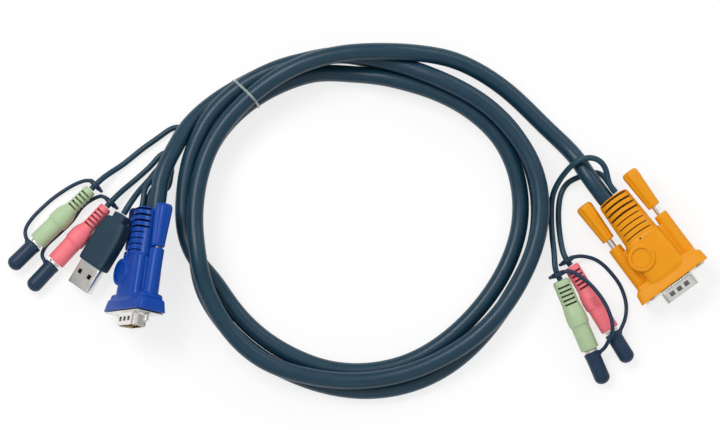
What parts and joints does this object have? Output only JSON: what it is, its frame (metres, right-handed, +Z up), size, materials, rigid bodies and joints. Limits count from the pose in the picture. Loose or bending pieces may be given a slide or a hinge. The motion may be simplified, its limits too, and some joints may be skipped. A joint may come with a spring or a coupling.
{
  "type": "kvm cable",
  "caption": "Coiled combination cable for sharing a screen, keyboard and sound: a video plug at each end, a USB plug and capped audio plugs on thin leads, tied for storage.",
  "frame": {"origin": "on the surface that the cable lies on, in the middle of the box round the plugs, their caps and the tie", "axes": "+Z up from the surface, +X from the blue plug's side of the coil towards the orange plug's side, +Y towards the tie"},
  "size_m": [0.3098, 0.158, 0.037],
  "materials": {
    "cable_jacket": "smooth dark blue-green jacket with a soft sheen",
    "cap_rubber": "dark navy, satin",
    "tie_plastic": "pale, slightly see-through strip",
    "blue_plastic": "moulded, satin",
    "orange_plastic": "moulded, satin",
    "green_plastic": "moulded, satin",
    "pink_plastic": "moulded, satin",
    "nickel_plate": "nickel plate, warm grey",
    "gold_contact": "gold flash",
    "dark_insulator": "black",
    "navy_moulding": "moulded, satin"
  },
  "bodies": {
    "cable": {"main_cable_coil": "cable_jacket", "main_cable_blue_end": "cable_jacket", "main_cable_orange_end": "cable_jacket", "cable_tie": "tie_plastic", "left_usb_lead": "cable_jacket", "left_pink_lead": "cable_jacket", "left_green_lead": "cable_jacket", "right_green_lead": "cable_jacket", "right_pink_lead": "cable_jacket", "left_green_tether": "cap_rubber", "left_pink_tether": "cap_rubber", "right_green_tether": "cap_rubber", "right_pink_tether": "cap_rubber", "blue_hood": "blue_plastic", "blue_video_shell": "nickel_plate", "blue_contact_block": "dark_insulator", "orange_hood": "orange_plastic", "orange_video_shell": "nickel_plate", "orange_contact_block": "dark_insulator", "usb_hood": "navy_moulding", "usb_shell": "nickel_plate", "usb_tongue": "dark_insulator", "usb_contact_1": "gold_contact", "usb_contact_2": "gold_contact", "usb_contact_3": "gold_contact", "usb_contact_4": "gold_contact", "left_green_plug_body": "green_plastic", "left_green_jack_sleeve": "nickel_plate", "left_green_jack_core": "dark_insulator", "left_green_jack_ring": "nickel_plate", "left_green_jack_tip": "nickel_plate", "left_pink_plug_body": "pink_plastic", "left_pink_jack_sleeve": "nickel_plate", "left_pink_jack_core": "dark_insulator", "left_pink_jack_ring": "nickel_plate", "left_pink_jack_tip": "nickel_plate", "right_green_plug_body": "green_plastic", "right_green_jack_sleeve": "nickel_plate", "right_green_jack_core": "dark_insulator", "right_green_jack_ring": "nickel_plate", "right_green_jack_tip": "nickel_plate", "right_pink_plug_body": "pink_plastic", "right_pink_jack_sleeve": "nickel_plate", "right_pink_jack_core": "dark_insulator", "right_pink_jack_ring": "nickel_plate", "right_pink_jack_tip": "nickel_plate"},
    "blue_left_shaft": {"blue_left_screw": "nickel_plate"},
    "blue_left_grip": {"blue_left_knob": "blue_plastic"},
    "blue_right_shaft": {"blue_right_screw": "nickel_plate"},
    "blue_right_grip": {"blue_right_knob": "blue_plastic"},
    "orange_left_shaft": {"orange_left_screw": "nickel_plate"},
    "orange_left_grip": {"orange_left_knob": "orange_plastic"},
    "orange_right_shaft": {"orange_right_screw": "nickel_plate"},
    "orange_right_grip": {"orange_right_knob": "orange_plastic"},
    "left_green_cover": {"left_green_cap": "cap_rubber"},
    "left_pink_cover": {"left_pink_cap": "cap_rubber"},
    "right_green_cover": {"right_green_cap": "cap_rubber"},
    "right_pink_cover": {"right_pink_cap": "cap_rubber"}
  },
  "joints": [
    {"name": "blue_left_screw_slide", "type": "slide", "parent": "cable", "child": "blue_left_shaft", "axis": [-0.1412, -0.9858, 0.0906], "range_m": [-0.0036, 0]},
    {"name": "blue_left_knob_turn", "type": "hinge", "parent": "blue_left_shaft", "child": "blue_left_grip", "pos_m": [-0.10409, -0.03923, 0.00835], "axis": [-0.1412, -0.9858, 0.0906], "continuous": true},
    {"name": "blue_right_screw_slide", "type": "slide", "parent": "cable", "child": "blue_right_shaft", "axis": [-0.1412, -0.9858, 0.0906], "range_m": [-0.0036, 0]},
    {"name": "blue_right_knob_turn", "type": "hinge", "parent": "blue_right_shaft", "child": "blue_right_grip", "pos_m": [-0.09071, -0.0392, 0.02945], "axis": [-0.1412, -0.9858, 0.0906], "continuous": true},
    {"name": "orange_left_screw_slide", "type": "slide", "parent": "cable", "child": "orange_left_shaft", "axis": [0.5906, -0.807, 0], "range_m": [0, 0.0036]},
    {"name": "orange_left_knob_turn", "type": "hinge", "parent": "orange_left_shaft", "child": "orange_left_grip", "pos_m": [0.1301, -0.03226, 0.00797], "axis": [0.5906, -0.807, 0], "continuous": true},
    {"name": "orange_right_screw_slide", "type": "slide", "parent": "cable", "child": "orange_right_shaft", "axis": [0.5906, -0.807, 0], "range_m": [0, 0.0036]},
    {"name": "orange_right_knob_turn", "type": "hinge", "parent": "orange_right_shaft", "child": "orange_right_grip", "pos_m": [0.1499, -0.01777, 0.01273], "axis": [0.5906, -0.807, 0], "continuous": true},
    {"name": "left_green_cap_slide", "type": "slide", "parent": "cable", "child": "left_green_cover", "axis": [-0.7108, -0.7034, 0], "range_m": [0, 0.0155]},
    {"name": "left_pink_cap_slide", "type": "slide", "parent": "cable", "child": "left_pink_cover", "axis": [-0.6743, -0.7385, 0], "range_m": [0, 0.0155]},
    {"name": "right_green_cap_slide", "type": "slide", "parent": "cable", "child": "right_green_cover", "axis": [0.395, -0.9127, -0.1045], "range_m": [0, 0.0155]},
    {"name": "right_pink_cap_slide", "type": "slide", "parent": "cable", "child": "right_pink_cover", "axis": [0.518, -0.8554, 0], "range_m": [0, 0.0155]}
  ]
}
